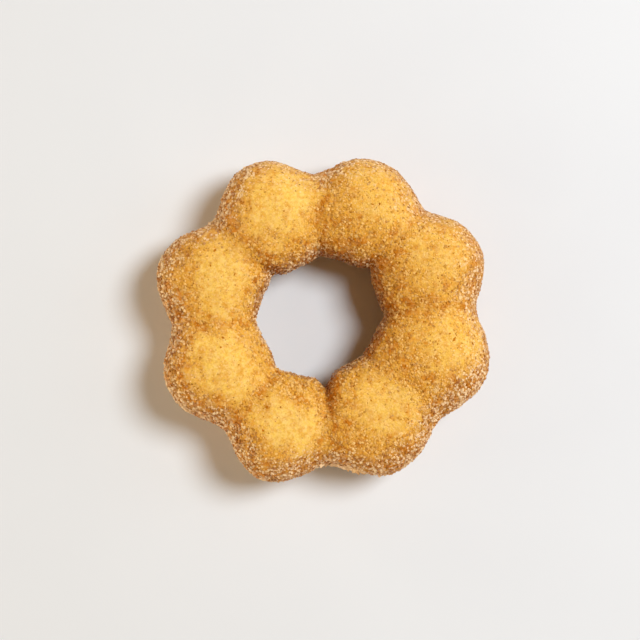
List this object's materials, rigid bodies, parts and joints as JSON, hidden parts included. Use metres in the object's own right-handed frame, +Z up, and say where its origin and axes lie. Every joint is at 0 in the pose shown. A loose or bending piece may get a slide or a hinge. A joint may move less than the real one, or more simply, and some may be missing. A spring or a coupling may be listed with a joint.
{
  "type": "mochi doughnut",
  "caption": "Ring of round dough balls fused side by side round an open hole, rolled in cinnamon sugar: a chewy fried snack that lies flat.",
  "frame": {"origin": "middle of the ring's outer box, on the level surface that the doughnut rests on", "axes": "+Z up, square to the ring. +X and +Y lie in the ring's plane, to the right and the top of the view from above"},
  "size_m": [0.086, 0.0834, 0.027],
  "materials": {
    "sugared_dough": "golden fried crust, matte, under glinting sugar grains"
  },
  "bodies": {
    "root": {"doughnut": "sugared_dough"}
  },
  "joints": []
}
